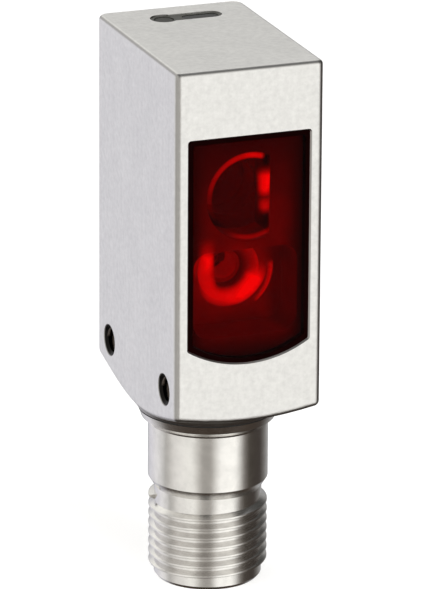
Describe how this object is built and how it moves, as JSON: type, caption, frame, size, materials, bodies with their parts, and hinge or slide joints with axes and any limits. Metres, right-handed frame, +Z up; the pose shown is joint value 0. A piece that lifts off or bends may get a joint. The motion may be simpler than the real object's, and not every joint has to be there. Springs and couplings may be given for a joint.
{
  "type": "photoelectric sensor",
  "caption": "Miniature photoelectric sensor: slim steel housing, flush red optical window with sender and receiver lenses, teach button, and a threaded round plug connector below.",
  "frame": {"origin": "centre of the connector's end face, on the connector axis", "axes": "+Z up the connector axis into the housing, -Y out of the optical window, X across the width"},
  "size_m": [0.0152, 0.023, 0.0558],
  "materials": {
    "housing_steel": "fine blasted stainless steel",
    "connector_steel": "turned bright stainless steel",
    "black_rubber": "matte",
    "red_window": "dark red transparent, polished",
    "black_plastic": "moulded",
    "aperture_black": "dull",
    "clear_lens": "clear moulded",
    "reflector": "metallised",
    "led_red": "clear resin",
    "led_green": "clear resin",
    "led_yellow": "clear resin",
    "circuit_board": "solder resist",
    "chip_black": "moulded epoxy",
    "shield_tin": "tinned sheet",
    "screw_steel": "zinc plated",
    "spacer_brass": "turned",
    "smoked_window": "smoked, polished",
    "button_grey": "matte",
    "plunger_white": "moulded",
    "gold_contact": "gold plated",
    "wire_brown": "insulation",
    "wire_white": "insulation",
    "wire_blue": "insulation",
    "wire_black": "insulation",
    "potting": "cast resin"
  },
  "bodies": {
    "sensor_body": {"housing": "housing_steel", "window_seal": "black_rubber", "front_window": "red_window", "optics_carrier": "black_plastic", "receiver_lens": "clear_lens", "receiver_aperture": "aperture_black", "receiver_chip": "chip_black", "sender_lens": "clear_lens", "sender_reflector": "reflector", "sender_led": "led_red", "optics_board": "circuit_board", "logic_board": "circuit_board", "top_board": "circuit_board", "board_screws": "screw_steel", "board_spacers": "spacer_brass", "stacking_connector": "black_plastic", "board_plug": "black_plastic", "microcontroller": "chip_black", "logic_parts": "chip_black", "optics_parts": "chip_black", "receiver_amplifier": "chip_black", "shield_can": "shield_tin", "control_panel": "black_plastic", "indicator_window": "smoked_window", "light_guide": "clear_lens", "status_led_green": "led_green", "status_led_yellow": "led_yellow", "button_seal": "black_rubber", "switch_body": "black_plastic", "connector_shell": "connector_steel", "connector_seal": "black_rubber", "contact_carrier": "black_plastic", "contact_pin_1": "gold_contact", "contact_pin_2": "gold_contact", "contact_pin_3": "gold_contact", "contact_pin_4": "gold_contact", "wire_brown": "wire_brown", "wire_white": "wire_white", "wire_blue": "wire_blue", "wire_black": "wire_black", "connector_potting": "potting"},
    "button_body": {"teach_button": "button_grey", "switch_plunger": "plunger_white"}
  },
  "joints": [
    {"name": "teach_press", "type": "slide", "parent": "sensor_body", "child": "button_body", "axis": [0, 0, -1], "range_m": [0, 0.0003]}
  ]
}
